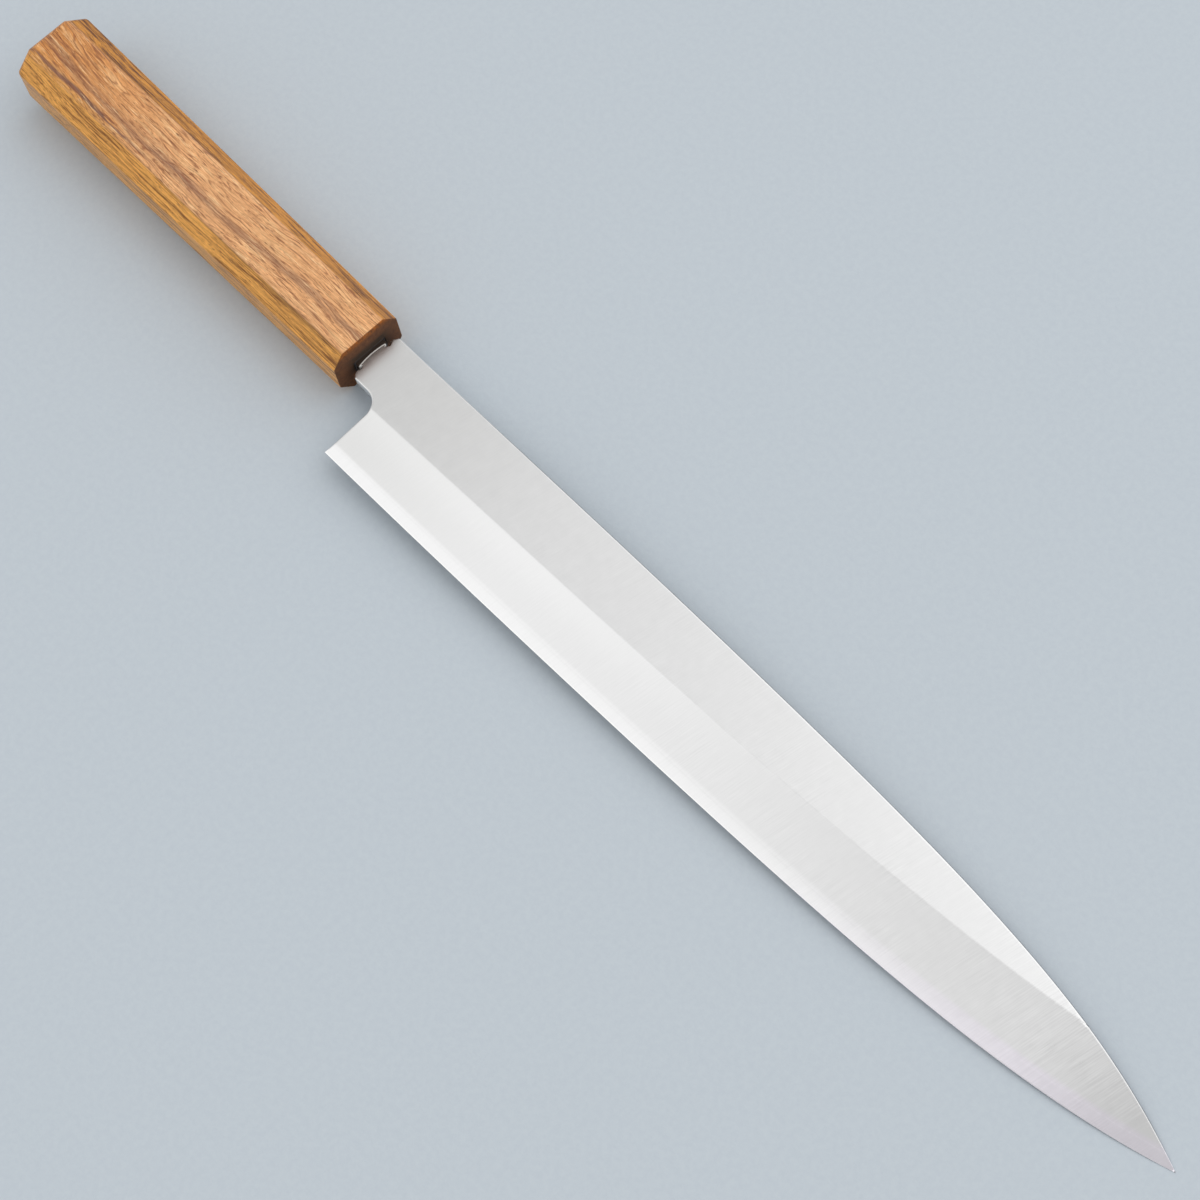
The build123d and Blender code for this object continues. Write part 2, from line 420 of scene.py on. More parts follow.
def rim_distance(point):
    """The distance to the rim and the nearest place on it."""
    nearest = None
    for _, number, _ in rim_tree.find_n(point, 3):
        for edge in rim_vertices[number].link_edges:
            if not edge.is_boundary:
                continue
            start, end = (v.co for v in edge.verts)
            foot, along = intersect_point_line(point, start, end)
            foot = start.lerp(end, min(max(along, 0), 1))
            gap = (point - foot).length
            if nearest is None or gap < nearest[0]:
                nearest = (gap, foot)
    return nearest


print("The rim has", len(rim_vertices), "vertices")

# %% A height for every vertex
rim_ease, back_ease = 0.42, 0.15
blunt_reach = 1.5


def round_off(distance, radius):
    """How far a rounded corner falls at a distance inside its rim."""
    if distance >= radius:
        return 0
    return radius - math.sqrt(radius**2 - (radius - distance) ** 2)


for vertex in plan.verts:
    x, y, _ = vertex.co
    gap, foot = rim_distance(vertex.co)
    blunt = min(max((foot.y - edge_y(foot.x)) / blunt_reach, 0.01), 1)
    top = top_height(x, y)
    room = (top - back_z) / 2
    top -= round_off(gap, min(rim_ease, room) * blunt)
    vertex[layers["top"]] = top
    vertex[layers["back"]] = back_height(x, y) + round_off(gap, min(back_ease, room) * blunt)
    vertex[layers["from_edge"]] = y - edge_y(x)
    vertex[layers["up_bevel"]] = (y - edge_y(x)) / (ridge_y(x) - edge_y(x))
    vertex[layers["from_rim"]] = gap
    vertex[layers["hollow"]] = (back_height(x, y) - back_z) / hollow_depth
thickest = max(vertex[layers["top"]] for vertex in plan.verts) - back_z
print(f"The blade is {thickest:.2f} mm thick at most")

# %% The solid blade
blade = plan.copy()
layers = blade.verts.layers.float
made = bmesh.ops.extrude_face_region(blade, geom=blade.faces[:], use_keep_orig=True)["geom"]
tops = {item for item in made if isinstance(item, bmesh.types.BMVert)}
for vertex in blade.verts:
    vertex.co.z = vertex[layers["top"]] if vertex in tops else vertex[layers["back"]]
for vertex in tops:
    vertex[layers["hollow"]] = 0
layers.remove(layers["top"])
layers.remove(layers["back"])
bmesh.ops.recalc_face_normals(blade, faces=blade.faces)
print("The blade has", len(blade.faces), "faces and", round(blade.calc_volume()), "mm3")

# %% [markdown]
# Two steels
#
# The blade is forge-welded from soft steel, which makes the body and the tang, and a thin layer of
# hard steel on its back, which comes to light along the edge. Both come from the one mesh: each is
# a copy, cut by `bisect_plane` at the weld and at the place where the hard steel starts, and the
# openings that the cuts leave are filled with `edgeloop_fill`.

# %% Cutting the blade at its weld
weld_fall = (weld_height - weld_tip_height) / blade_reach
weld_place = Vector((face_x, 0, weld_z(face_x)))
weld_normal = Vector((weld_fall, 0, 1)).normalized()
start_place, start_normal = Vector((weld_start_x, 0, 0)), Vector((1, 0, 0))


def over_weld(point):
    return (point - weld_place).dot(weld_normal)


def fill_opening(mesh):
    bmesh.ops.edgeloop_fill(mesh, edges=[edge for edge in mesh.edges if edge.is_boundary])


hard_steel = blade.copy()
bisect(hard_steel, hard_steel.faces, weld_place, weld_normal, clear_outer=True)
fill_opening(hard_steel)
bisect(hard_steel, hard_steel.faces, start_place, start_normal, clear_inner=True)
fill_opening(hard_steel)
print("The hard steel has", len(hard_steel.faces), "faces")

# %% [markdown]
# The soft steel keeps a notch with the shape of an L where the hard steel lies. Its opening isn't
# flat, so one edge across it, at the corner of the L, divides it into two loops that are.

# %% The soft steel
soft_steel = blade.copy()
bisect(soft_steel, soft_steel.faces, start_place, start_normal)
past_start = [f for f in soft_steel.faces if f.calc_center_median().x > weld_start_x]
bisect(soft_steel, past_start, weld_place, weld_normal)
past_start = [f for f in soft_steel.faces if f.calc_center_median().x > weld_start_x]
under_weld = [face for face in past_start if over_weld(face.calc_center_median()) < 0]
bmesh.ops.delete(soft_steel, geom=under_weld, context="FACES")

opening = [edge for edge in soft_steel.edges if edge.is_boundary]
on_start = [e for e in opening if all(abs(v.co.x - weld_start_x) < 1e-3 for v in e.verts)]
corners = [v for e in on_start for v in e.verts if abs(over_weld(v.co)) < 1e-3]
across = bmesh.ops.contextual_create(soft_steel, geom=corners)["edges"]
bmesh.ops.edgeloop_fill(soft_steel, edges=on_start + across)
bmesh.ops.edgeloop_fill(soft_steel, edges=[e for e in opening if e not in on_start] + across)
for mesh in (soft_steel, hard_steel):
    bmesh.ops.recalc_face_normals(mesh, faces=mesh.faces)
print("Soft steel:", round(soft_steel.calc_volume()), "mm3, hard:", round(hard_steel.calc_volume()))

# %% [markdown]
# The handle
#
# A Japanese handle of this kind is a plain octagonal bar, planed, scraped and sanded, a little
# stouter at its butt than at the blade. Its section is written as eight lines. Where two of them
# meet, a small arc takes the corner off, because sanding leaves no sharp ridge.

# %% The handle's section
ridge_radius, least_ridge_radius = 0.9, 0.3
ridge_points = 5


def blended(front, butt, x):
    return front + (butt - front) * (face_x - x) / (face_x - butt_x)


def octagon_sides(x):
    """The eight sides of the section at x: for each, its direction outwards and its distance."""
    height = blended(front_height, butt_height, x) / 2
    thickness = blended(front_thickness, butt_thickness, x) / 2
    broad = blended(front_broad_flat, butt_broad_flat, x) / 2
    narrow = blended(front_narrow_flat, butt_narrow_flat, x) / 2
    corner = Vector((thickness - narrow, height - broad)).normalized()
    from_axis = corner.dot(Vector((height, narrow)))
    sides = []
    for turn in range(4):
        outwards = Vector(((1, 0), (0, 1), (-1, 0), (0, -1))[turn])
        sides.append((outwards, height if turn % 2 == 0 else thickness))
        up, over = ((1, 1), (-1, 1), (-1, -1), (1, -1))[turn]
        sides.append((Vector((corner.x * up, corner.y * over)), from_axis))
    return sides


def meeting(first, second, inset):
    """Where two sides meet once both have moved in."""
    (a, reach_a), (b, reach_b) = first, second
    reach_a, reach_b = reach_a - inset, reach_b - inset
    cross = a.x * b.y - a.y * b.x
    return Vector((reach_a * b.y - reach_b * a.y, reach_b * a.x - reach_a * b.x)) / cross


def octagon(x, inset=0.0):
    """The rounded section at x, moved in by the inset, as places (y, z) from the axis."""
    sides = octagon_sides(x)
    radius = max(ridge_radius - inset, least_ridge_radius)
    ring = []
    for i, side in enumerate(sides):
        after = sides[(i + 1) % 8]
        centre = meeting(side, after, inset + radius)
        for step in range(ridge_points):
            ring.append(centre + side[0].slerp(after[0], step / (ridge_points - 1)) * radius)
    return ring


print("The section at the blade has", len(octagon(face_x)), "points")

# %% [markdown]
# The bar grows from its front. One face is extruded again and again, and each new ring moves to
# the section at its place. The last rings turn round the rim of the butt and onto its low dome.

# %% The handle's rings
butt_rim_radius, butt_dome_radius = 2.0, 80.0
dome_room = 1.1
front_chamfer = 0.4
handle_ring_count = 24


def place_ring(face, ring, x_of):
    """Moves a face's corners to a ring of places round the axis, and to their own x."""
    for loop, (y, z) in zip(face.loops, ring):
        loop.vert.co = (x_of(y, z), axis_y + y, axis_z + z)


def first_face(mesh, ring, x_of):
    corners = bmesh.ops.create_circle(mesh, cap_ends=True, segments=len(ring), radius=1)["verts"]
    face = corners[0].link_faces[0]
    place_ring(face, ring, x_of)
    return face


def grow(mesh, face, ring, x_of):
    face = bmesh.ops.extrude_discrete_faces(mesh, faces=[face])["faces"][0]
    place_ring(face, ring, x_of)
    return face


def dome_x(y, z):
    return butt_x + butt_dome_radius - math.sqrt(butt_dome_radius**2 - y * y - z * z)


handle_mesh = bmesh.new()
end = first_face(handle_mesh, octagon(face_x, front_chamfer), lambda y, z: face_x)
for angle in (30, 60, 90):
    turn = math.radians(angle)
    inset, back = front_chamfer * (1 - math.sin(turn)), front_chamfer * (1 - math.cos(turn))
    end = grow(handle_mesh, end, octagon(face_x, inset), lambda y, z: face_x - back)

last_x = butt_x + butt_rim_radius + dome_room
for i in range(1, handle_ring_count + 1):
    x = face_x - front_chamfer + (last_x - face_x + front_chamfer) * i / handle_ring_count
    end = grow(handle_mesh, end, octagon(x), lambda y, z: x)
for angle in range(0, 91, 9):
    turn = math.radians(angle)
    inset = butt_rim_radius * (1 - math.cos(turn))
    rise = butt_rim_radius * (1 - math.sin(turn))
    end = grow(handle_mesh, end, octagon(last_x, inset), lambda y, z: dome_x(y, z) + rise)
for share_in in (0.8, 0.6, 0.4, 0.2):
    ring = [place * share_in for place in octagon(last_x, butt_rim_radius)]
    end = grow(handle_mesh, end, ring, dome_x)
bmesh.ops.poke(handle_mesh, faces=[end])
print("The bar has", len(handle_mesh.faces), "faces")

# %% [markdown]
# The slot for the tang opens the bar's front, which the first extrusion left open. A smaller ring
# makes the slot's mouth, its face is extruded inwards, and `bridge_loops` joins the mouth to the
# rim.

# %% The slot
side_gap, face_gap = 0.7, 0.6
slot_corner, tang_corner = 0.3, 0.2
slot_end_x = bedding_low.x
corner_points = 5


def slot_ring(x, side, face, radius):
    """A rounded oblong round the tang at x, with the gaps given, as places (y, z) from the axis."""
    deep = min(max((face_x - x) / (face_x - slot_end_x), 0), 1)
    width = tang_width + (tang_end_width - tang_width) * deep + 2 * side
    thickness = blade_thickness + (tang_end_thickness - blade_thickness) * deep
    middle_y, low = tang_y - axis_y, back_z - axis_z - face
    high = low + thickness + 2 * face
    ring = []
    for turn in range(4):
        right, upper = turn in (0, 3), turn in (0, 1)
        centre_y = middle_y + (width / 2 - radius) * (1 if right else -1)
        centre_z = high - radius if upper else low + radius
        for step in range(corner_points):
            angle = math.radians(90 * turn + 90 * step / (corner_points - 1))
            place = Vector((math.cos(angle), math.sin(angle))) * radius
            ring.append(Vector((centre_y, centre_z)) + place)
    return ring


mouth = slot_ring(face_x, side_gap, face_gap, slot_corner)
slot_end = slot_ring(slot_end_x, side_gap, face_gap, slot_corner)
end = first_face(handle_mesh, mouth, lambda y, z: face_x)
grow(handle_mesh, end, slot_end, lambda y, z: slot_end_x)
rims = [edge for edge in handle_mesh.edges if edge.is_boundary]
bmesh.ops.bridge_loops(handle_mesh, edges=rims)
bmesh.ops.recalc_face_normals(handle_mesh, faces=handle_mesh.faces)
print("With its slot, the handle has", round(handle_mesh.calc_volume()), "mm3 of wood")

# %% [markdown]
# The resin
#
# The tang is bedded in resin, which fills the slot and sinks a little where it has set, so its skin
# is a small hollow between the wood and the steel. It is made in the same way, as one face that
# grows along the slot, over the skin and back along the tang.

# %% The resin
sink = 0.25
overlap = 0.02

resin_mesh = bmesh.new()
end = first_face(resin_mesh, slot_end, lambda y, z: slot_end_x)
for gap_share in (1, 0.85, 0.65, 0.5, 0.35, 0.15, 0):
    sunk = sink * 4 * gap_share * (1 - gap_share)
    gaps = [gap * gap_share - overlap for gap in (side_gap, face_gap)]
    ring = slot_ring(face_x, *gaps, tang_corner + gap_share * (slot_corner - tang_corner))
    end = grow(resin_mesh, end, ring, lambda y, z: face_x - sunk)
tang_ring = slot_ring(tang_end_x, -overlap, -overlap, tang_corner)
grow(resin_mesh, end, tang_ring, lambda y, z: tang_end_x)
fill_opening(resin_mesh)
bmesh.ops.recalc_face_normals(resin_mesh, faces=resin_mesh.faces)
print("The resin has", round(resin_mesh.calc_volume()), "mm3")

# %% [markdown]
# From meshes to pieces
#
# Each mesh is scaled from millimetres to metres and becomes an object at the origin. Faces that meet
# at a low angle are shaded as one surface, and a larger angle stays a crisp corner. The handle's
# long sides are flat, so a Weighted Normal modifier lets the large faces lead their small rounds.

# %% The pieces
smooth_angle = math.radians(28)
link = bpy.context.scene.collection.objects.link


def make_piece(name, mesh):
    bmesh.ops.scale(mesh, verts=mesh.verts, vec=(mm, mm, mm))
    for face in mesh.faces:
        face.smooth = True
    for edge in mesh.edges:
        edge.smooth = edge.calc_face_angle(0) < smooth_angle
    data = bpy.data.meshes.new(name)
    mesh.to_mesh(data)
    piece = bpy.data.objects.new(name, data)
    link(piece)
    print(name, "has", len(data.polygons), "faces")
    return piece


body_steel = make_piece("body_steel", soft_steel)
cutting_steel = make_piece("cutting_steel", hard_steel)
wood = make_piece("oak_handle", handle_mesh)
resin = make_piece("tang_resin", resin_mesh)

flatten = wood.modifiers.new("flat sides", "WEIGHTED_NORMAL")
flatten.keep_sharp = True
flatten.weight = 80

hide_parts("blade_cladding")
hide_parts("edge_steel")
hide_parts("handle")
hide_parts("tang_bedding")
for piece in (body_steel, cutting_steel, wood, resin):
    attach(piece, "root")

# %% [markdown]
# Writing materials
#
# A material is a net of nodes. Written out in full, a formula of ten nodes hides its sense, so a
# small class wraps a socket and lets Python's own signs add the Math nodes. Every other node comes
# from one method.

# %% A socket that can do sums


class Wire:
    """A socket of a material. Its sums are Math nodes, and its other nodes come from make."""

    def __init__(self, socket):
        self.socket = socket
        self.tree = socket.id_data

    def make(self, kind, settings=None, inputs=None, output=0):
        """Adds a node, with its settings first and then the values or wires of its sockets."""
        node = self.tree.nodes.new(kind)
        for name, value in (settings or {}).items():
            setattr(node, name, value)
        for name, value in (inputs or {}).items():
            if isinstance(value, Wire):
                self.tree.links.new(value.socket, node.inputs[name])
            else:
                node.inputs[name].default_value = value
        return Wire(node.outputs[output])

    def math(self, operation, *values):
        """A Math node on just the values that are given: the wire itself isn't added to them."""
        inputs = dict(enumerate(values))
        return self.make("ShaderNodeMath", {"operation": operation}, inputs)

    def fraction(self):
        """What is left of it past the last whole number, which makes a pattern repeat."""
        return self.math("FRACT", self)

    def or_larger(self, other):
        return self.math("MAXIMUM", self, other)

    def clamped(self):
        return self.make("ShaderNodeClamp", None, {"Value": self})

    def between(self, low, high):
        """0 below low, 1 above high, and a soft step between them."""
        settings = {"interpolation_type": "SMOOTHSTEP"}
        inputs = {"Value": self, "From Min": low, "From Max": high}
        return self.make("ShaderNodeMapRange", settings, inputs)

    def blend(self, first, second):
        """Two colours, mixed by this wire."""
        inputs = {"Factor": self, 6: first, 7: second}
        return self.make("ShaderNodeMix", {"data_type": "RGBA"}, inputs, 2)

    def multiply(self, other):
        """One colour times another."""
        inputs = {"Factor": 1, 6: self, 7: other}
        settings = {"data_type": "RGBA", "blend_type": "MULTIPLY"}
        return self.make("ShaderNodeMix", settings, inputs, 2)

    def noise(self, detail=2.0, roughness=0.5, seed=0.0):
        """Noise at this place, which is already at the noise's own scale."""
        settings = {"noise_dimensions": "4D"}
        inputs = {"Vector": self, "W": seed, "Scale": 1, "Detail": detail, "Roughness": roughness}
        return self.make("ShaderNodeTexNoise", settings, inputs)

    def __add__(self, other):
        return self.math("ADD", self, other)

    def __radd__(self, other):
        return self.math("ADD", other, self)

    def __sub__(self, other):
        return self.math("SUBTRACT", self, other)

    def __rsub__(self, other):
        return self.math("SUBTRACT", other, self)

    def __mul__(self, other):
        return self.math("MULTIPLY", self, other)

    def __rmul__(self, other):
        return self.math("MULTIPLY", other, self)

    def __truediv__(self, other):
        return self.math("DIVIDE", self, other)

    def __rtruediv__(self, other):
        return self.math("DIVIDE", other, self)

    def __pow__(self, other):
        return self.math("POWER", self, other)

    def __rpow__(self, other):
        return self.math("POWER", other, self)

    def __abs__(self):
        return self.math("ABSOLUTE", self)


print("A wire knows the signs + - * / and **, and abs")

# %% [markdown]
# Every pattern starts from the same place: the object's own coordinates, turned into millimetres
# from the handle's axis, so that a number in a pattern is a length on the knife.

# %% The start of a material


def colour(red, green, blue):
    """A colour as a picture shows it, from 0 to 255, as the linear values that Blender takes."""
    shares = [value / 255 for value in (red, green, blue)]
    linear = [s / 12.92 if s <= 0.04045 else ((s + 0.055) / 1.055) ** 2.4 for s in shares]
    return (*linear, 1)


def start_material(name):
    """A new material: its shader node, and wires for the place along, across and up."""
    material = bpy.data.materials.new(name)
    material.use_nodes = True
    tree = material.node_tree
    shader = tree.nodes["Principled BSDF"]
    spot = Wire(tree.nodes.new("ShaderNodeTexCoord").outputs["Object"])
    axis = Vector((0, axis_y, axis_z)) * mm
    spot = spot.make("ShaderNodeVectorMath", {"operation": "SUBTRACT"}, {0: spot, 1: axis})
    settings, inputs = {"operation": "SCALE"}, {0: spot, "Scale": 1 / mm}
    spot = spot.make("ShaderNodeVectorMath", settings, inputs)
    parts = [spot.make("ShaderNodeSeparateXYZ", None, {0: spot}, output) for output in range(3)]
    return material, shader, parts


def joined(x, y, z):
    """Three wires or numbers as one vector."""
    wire = next(part for part in (x, y, z) if isinstance(part, Wire))
    return wire.make("ShaderNodeCombineXYZ", None, {0: x, 1: y, 2: z})


def feed(shader, name, value):
    """Sets a socket of the shader to a number or links a wire to it."""
    if isinstance(value, Wire):
        value.tree.links.new(value.socket, shader.inputs[name])
    else:
        shader.inputs[name].default_value = value


def bump(height, distance, strength=1.0):
    """The normals of a surface with this height, whose full rise is the distance in mm."""
    inputs = {"Height": height, "Distance": distance * mm, "Strength": strength}
    return height.make("ShaderNodeBump", None, inputs)


print("A picture's grey of 128 is", round(colour(128, 128, 128)[0], 3), "in linear light")

# %% [markdown]
# Oak
#
# Grain is what a flat saw cut shows of thin layers that were once a tree's yearly rings. So the
# layers come first: planes that lie nearly level in the handle, made wavy by slow noise. The level
# top cuts them at a low angle, which spreads them into broad streaks, and the corner facets cut
# across them, which packs the same layers into fine lines. Fibres, pores and flecks are dashes, from
# long to short, and threads are the fine long lines that run straight between them.

# %% Oak: its layers
oak, shader, (x, y, z) = start_material("lacquered oak")

from_butt = x - butt_x
butt_drift, front_drift = 3.0, 2.2
wave = joined(x * 0.04, y * 0.12, z * 0.12).noise(2.0, 0.5, 7.4) - 0.5
curl = joined(x * 0.08, y * 0.35, z * 0.35).noise(2.0, 0.6, 3.1) - 0.5
drift = from_butt.between(36, 0) * butt_drift + from_butt.between(82, 122) * front_drift
ripple = joined(x * 0.18, y * 0.6, z * 0.6).noise(2.0, 0.5, 13.0) - 0.5
side = y - drift + wave * 2.6 + curl * 1.2 + ripple * 0.3
depth = z + curl * 0.5 + ripple * 0.2
layer = side * 0.34 + depth
straight = y - drift + wave * 2.6

broad = joined(x * 0.014, layer * 1.1, 0.0).noise(3.0, 0.6, 1.0)
lines = joined(x * 0.03, layer * 2.6, 0.3).noise(3.0, 0.65, 2.0)
fibre = joined(x * 0.1, side * 1.9, depth * 1.9).noise(4.0, 0.68, 5.0)
strand = joined(x * 0.06, side * 0.9, depth * 0.9).noise(2.0, 0.6, 6.0)
hair = joined(x * 0.26, side * 4.2, depth * 4.2).noise(2.0, 0.7, 8.0) - 0.5
thread = joined(x * 0.04, straight * 1.5, z * 1.5).noise(2.0, 0.7, 19.0) - 0.5
fleck = joined(x * 0.8, side * 2.6, depth * 2.6).noise(1.0, 0.5, 17.0) - 0.5
pores = joined(x * 0.3, side * 3.2, depth * 3.2).noise(2.0, 0.6, 9.0).between(0.6, 0.7)
nested = joined(x * 0.013, side * 0.2, depth * 0.2).noise(2.0, 0.55, 11.0) * 20
ring = nested.fraction() - 0.5
ring_line = abs(ring).between(0.2, 0.04) * fibre.between(0.62, 0.46)
print("The layers drift by up to", butt_drift, "mm across the grain")

# %% [markdown]
# Two streaks of dark heartwood run along the top: a narrow one beside the ridge, from the butt to
# where it leaves the top, and a broad soft one that follows the layers. A dark band also lies just
# under the ridge, on the half towards the blade. Each is a distance from a line along the handle,
# which is so many millimetres towards the edge from the handle's axis, turned into a mask.

# %% Oak: the colours of its top
edge_streak_y, soft_streak_y = 5.9, 3.1

on_top = z.between(6.5, 8.5)
off_edge_streak = y + edge_streak_y + wave * 1.6
off_streak = side + soft_streak_y
edge_streak = abs(off_edge_streak).between(1.0, 0.2)
edge_streak = edge_streak * from_butt.between(62, 34) * strand.between(0.28, 0.42)
soft_streak = abs(off_streak).between(2.2, 0.3) * strand.between(0.26, 0.5)
streak = broad.between(0.52, 0.68) * 0.45
streak = (streak + (edge_streak + soft_streak * 0.6) * on_top).clamped()

top_tint = from_butt.between(0, 75).blend(colour(211, 141, 75), colour(233, 173, 118))
top_tint = (strand.between(0.5, 0.66) * 0.45).blend(top_tint, colour(246, 198, 142))
golden = y.between(-3.5, -6.5) * from_butt.between(60, 20)
top_tint = (golden * 0.7).blend(top_tint, colour(220, 156, 78))
top_tint = streak.blend(top_tint, colour(136, 96, 76))
top_tint = (fibre.between(0.55, 0.66) * 0.6).blend(top_tint, colour(252, 210, 158))
top_tint = (fibre.between(0.45, 0.35) * 0.75).blend(top_tint, colour(140, 80, 46))
top_tint = (ring_line * 0.65).blend(top_tint, colour(142, 86, 54))
print("So far the oak has", len(oak.node_tree.nodes), "nodes")

# %% Oak: the colours of its sides
under_ridge_y = 7.6
top_half_width, top_half_thickness = 11.6, 9.6

# The facets on the spine's side are painted darker and browner than those on the edge's side, as
# painted shade.
shaded_spine_side = y.between(-4, 4)
side_light = shaded_spine_side.blend(colour(248, 178, 86), colour(220, 148, 54))
side_dark = shaded_spine_side.blend(colour(128, 76, 26), colour(98, 52, 14))
side_lines = lines.between(0.36, 0.64) * 0.6 + (fibre - 0.5) * 1.7 + thread * 2.6
side_lines = side_lines + strand.between(0.45, 0.65) * 0.35
side_lines = side_lines + ring_line * 0.3 + from_butt.between(102, 134) * (1 - shaded_spine_side) * 0.08
side_lines = side_lines + from_butt.between(52, 12) * shaded_spine_side * 0.2
side_tint = (side_lines + hair * 1.6 - 0.15).clamped().blend(side_light, side_dark)
band = 0.55 + from_butt.between(96, 130) * 0.7
under_ridge = abs(y + under_ridge_y).between(band, 0.1) * z.between(5, 6.5)
under_ridge = under_ridge * from_butt.between(60, 85) * from_butt.between(141, 134)
under_ridge = under_ridge * strand.between(0.3, 0.46) * 0.65
side_tint = under_ridge.blend(side_tint, colour(104, 68, 36))

# The top's colours are paler and pinker than the sides' golden ones: a painted sheen of the light on
# the level top.
from_ridge = abs(y) / top_half_width - abs(z) / top_half_thickness
tint = from_ridge.between(-0.39, -0.29).blend(top_tint, side_tint)
tint = (pores * 0.75).blend(tint, colour(96, 50, 26))
grain = (hair * 2.0 + fleck * 0.6 + thread + 0.5).clamped()
tint = grain.blend((0.68, 0.655, 0.63, 1), (1.3, 1.325, 1.35, 1)).multiply(tint)
print("With its sides the oak has", len(oak.node_tree.nodes), "nodes")

# %% [markdown]
# Both ends are end grain. There the yearly rings show as bands that cross the bar, each with a row
# of pores cut straight across, which look like dots. The bands are the layers again, bent a little
# as rings are, so they meet the streaks of the long sides.

# %% Oak: the end grain of its butt
tint = (from_butt.between(2.4, 0.6) * 0.3).blend(tint, colour(120, 70, 34))
ring_width, ring_bend = 2.4, 0.012
year = ((layer + y * y * ring_bend) / ring_width).fraction()
early_wood = year.between(0.0, 0.1) * year.between(0.62, 0.25)
dots = joined(0.0, y * 2.8, z * 2.8).noise(2.0, 0.6, 9.0).between(0.5, 0.62)
butt_tint = (early_wood * 0.6).blend(colour(190, 132, 80), colour(146, 92, 52))
butt_tint = (dots * (early_wood * 0.55 + 0.2)).blend(butt_tint, colour(84, 48, 26))
tint = from_butt.between(1.9, 1.1).blend(tint, butt_tint)
print("A ring of the tree is", ring_width, "mm wide")

# %% [markdown]
# At the front, the hot tang has scorched the wood round its slot, and lacquer has darkened the rest.
# Part of the darkness is painted shade as well: it grows below the blade's level, and it is deepest
# next to the slot, where the blade shades the face. Each mask is a place: how far along the handle,
# and how far from the slot. The second is the larger of two distances, beside the slot and over it,
# and the one beside counts for less, so that the scorched and shaded dark reaches further to both
# sides.

# %% Oak: its dark front, and its gloss
front = (x - face_x).between(-0.42, -0.2)
slot_over_axis = 0.8
beside_slot = abs(y - tang_over_axis) * 0.46
from_slot = beside_slot.or_larger(abs(z - slot_over_axis))
ends = joined(0.0, y * 0.8, z * 0.8).noise(3.0, 0.7, 4.0) - 0.5
# Painted shade over scorched wood: the face darkens towards the slot and below the blade's level.
charred_and_shaded = ((from_slot + ends * 4).between(8.1, 5.9) + z.between(-1.0, -3.0)).clamped()
front_tint = charred_and_shaded.blend(colour(184, 106, 38), colour(120, 78, 50))
front_tint = (ends * 3 + 0.5).clamped().blend(front_tint, colour(86, 58, 42))
# Nearly black next to the slot: painted shade where the blade shades the face, over scorched wood.
front_tint = (from_slot + ends * 5).between(4.6, 1.8).blend(front_tint, colour(63, 51, 41))
tint = front.blend(tint, front_tint)

feed(shader, "Base Color", tint)
feed(shader, "Roughness", fibre * 0.3 + 0.35 + front * 0.2)
feed(shader, "Normal", bump(fibre * 0.8 + hair * 0.5 - pores * 0.6, 0.04))
feed(shader, "Specular IOR Level", 0.2)
feed(shader, "Coat Weight", 0.45 - front * 0.45)
feed(shader, "Coat Roughness", 0.22)
wood.data.materials.append(oak)
print("The oak has", len(oak.node_tree.nodes), "nodes")

# %% [markdown]
# Steel
#
# The flats are finished on a fine stone and then with fine grit across the blade, which leaves
# hairlines nearly square to its length. A hairline is noise that is short along the blade and long
# across it, and it changes the colour, the gloss and the relief a little. Hairlines come in patches,
# so a slow noise fades them in and out, and they are strongest near the tip. The rims are polished,
# so less rough, and their colour is lightened as a painted highlight. Past the neck the spine's rim
# is darkened instead, as a painted dark reflection. The upper part of the bevel and a line along
# the ridge are lightened too, as painted highlights. The hollow of the back stays as the wheel left
# it, greyer and less smooth than the flat round it. On the tang's root a film of resin, darkened
# further as painted shade, ends in a thin pale line that is a painted highlight.

# %% Steel: the film on the tang's root
film_gap, film_bulge = 0.25, 0.55


def film_shade_and_highlight_masks(x, y):
    """Where the film of resin, darkened as painted shade, lies on the tang's root, and the pale
    line, a painted highlight, that it ends in.
    """
    bulge = (((y - tang_over_axis) / (tang_width / 2)) ** 2).clamped()
    past_line = x - (shoulder_x - film_gap - film_bulge) - bulge * film_bulge
    return past_line.between(0.05, -0.1), abs(past_line).between(0.22, 0.1)


print(f"The film ends {film_gap} to {film_gap + film_bulge:.1f} mm before the shoulders")

# %% Steel
neck_grey, soft_grey = colour(221, 221, 220), colour(231, 231, 231)
hard_grey, hard_tip_grey = colour(239, 239, 239), colour(236, 232, 239)


def attribute(wire, name):
    """What the mesh says at each vertex, such as its distance from the rim."""
    return wire.make("ShaderNodeAttribute", {"attribute_name": name}, None, 2)


